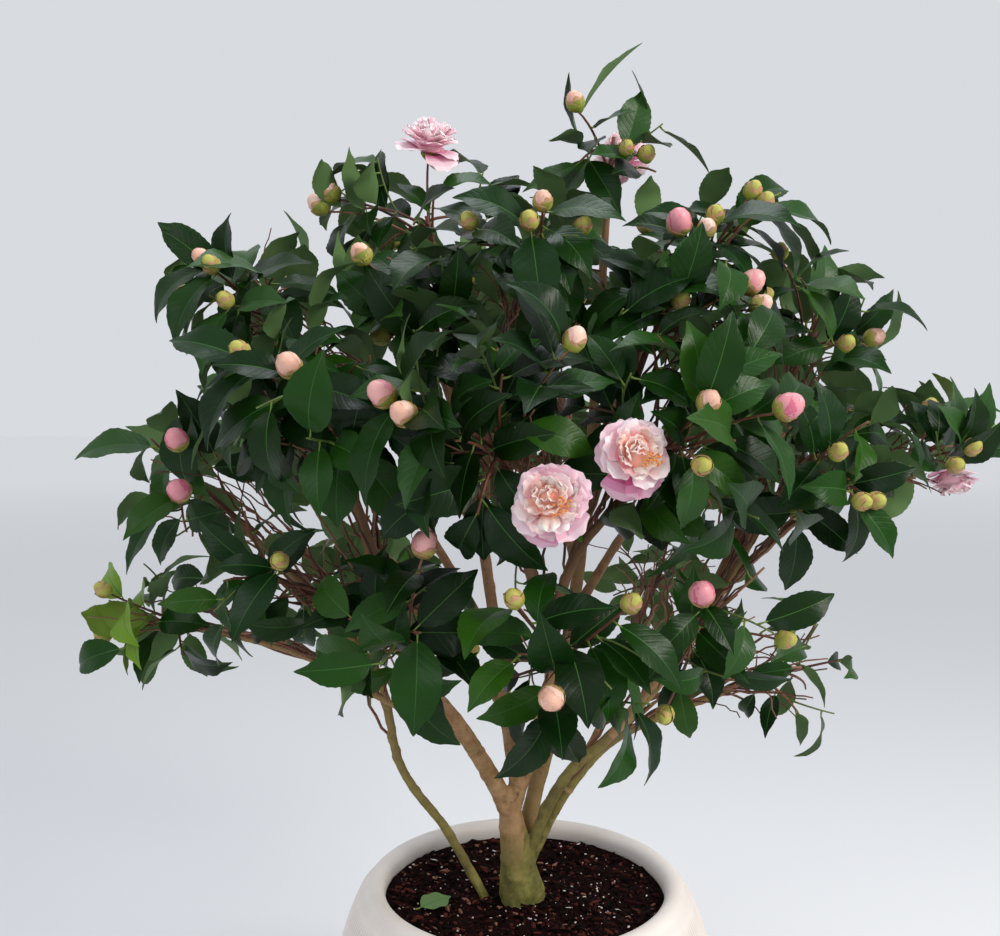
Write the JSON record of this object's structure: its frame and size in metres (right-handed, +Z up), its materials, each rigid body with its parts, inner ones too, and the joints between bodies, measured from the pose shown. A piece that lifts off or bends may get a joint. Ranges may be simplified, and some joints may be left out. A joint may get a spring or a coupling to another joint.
{
  "type": "potted camellia shrub",
  "caption": "Bushy evergreen camellia shrub with glossy leaves, flower buds and pale pink double blossoms on thin bare stems, in a round-bellied cream ceramic pot filled with soil",
  "frame": {"origin": "middle of the pot's flat underside, where it stands on the ground", "axes": "+Z up the pot's axis, +X to the right and +Y away as the plant is seen from its front"},
  "size_m": [1.0965, 0.7985, 1.3351],
  "materials": {
    "pot": "cream fired clay, unglazed satin, finely combed",
    "soil": "damp dark potting mix with white perlite, matt and crumbly",
    "bark": "thin pinkish-brown bark, greener and smoother on young wood",
    "foliage": "leathery dark green leaves, satin above and dull beneath"
  },
  "bodies": {
    "root": {"pot": "pot", "soil": "soil", "trunk": "bark", "bough_back_left": "bark", "bough_back_low_left": "bark", "bough_back_low_right": "bark", "bough_back_mid": "bark", "bough_back_right": "bark", "bough_back_top": "bark", "bough_centre_front": "bark", "bough_left_front": "bark", "bough_left_low": "bark", "bough_left_low_front": "bark", "bough_left_mid": "bark", "bough_low_front": "bark", "bough_low_left_front": "bark", "bough_low_right": "bark", "bough_low_right_front": "bark", "bough_right_front": "bark", "bough_right_mid": "bark", "bough_right_tip": "bark", "bough_top_left": "bark", "bough_top_mid": "bark", "bough_top_right": "bark", "bough_top_spire": "bark", "bough_upper_front_left": "bark", "bough_upper_front_right": "bark", "bough_upper_left": "bark", "bough_upper_right": "bark", "foliage_back_left": "foliage", "foliage_back_low_left": "foliage", "foliage_back_low_right": "foliage", "foliage_back_mid": "foliage", "foliage_back_right": "foliage", "foliage_back_top": "foliage", "foliage_centre_front": "foliage", "foliage_left_front": "foliage", "foliage_left_low": "foliage", "foliage_left_low_front": "foliage", "foliage_left_mid": "foliage", "foliage_low_front": "foliage", "foliage_low_left_front": "foliage", "foliage_low_right": "foliage", "foliage_low_right_front": "foliage", "foliage_right_front": "foliage", "foliage_right_mid": "foliage", "foliage_right_tip": "foliage", "foliage_top_left": "foliage", "foliage_top_mid": "foliage", "foliage_top_right": "foliage", "foliage_top_spire": "foliage", "foliage_upper_front_left": "foliage", "foliage_upper_front_right": "foliage", "foliage_upper_left": "foliage", "foliage_upper_right": "foliage"}
  },
  "joints": []
}
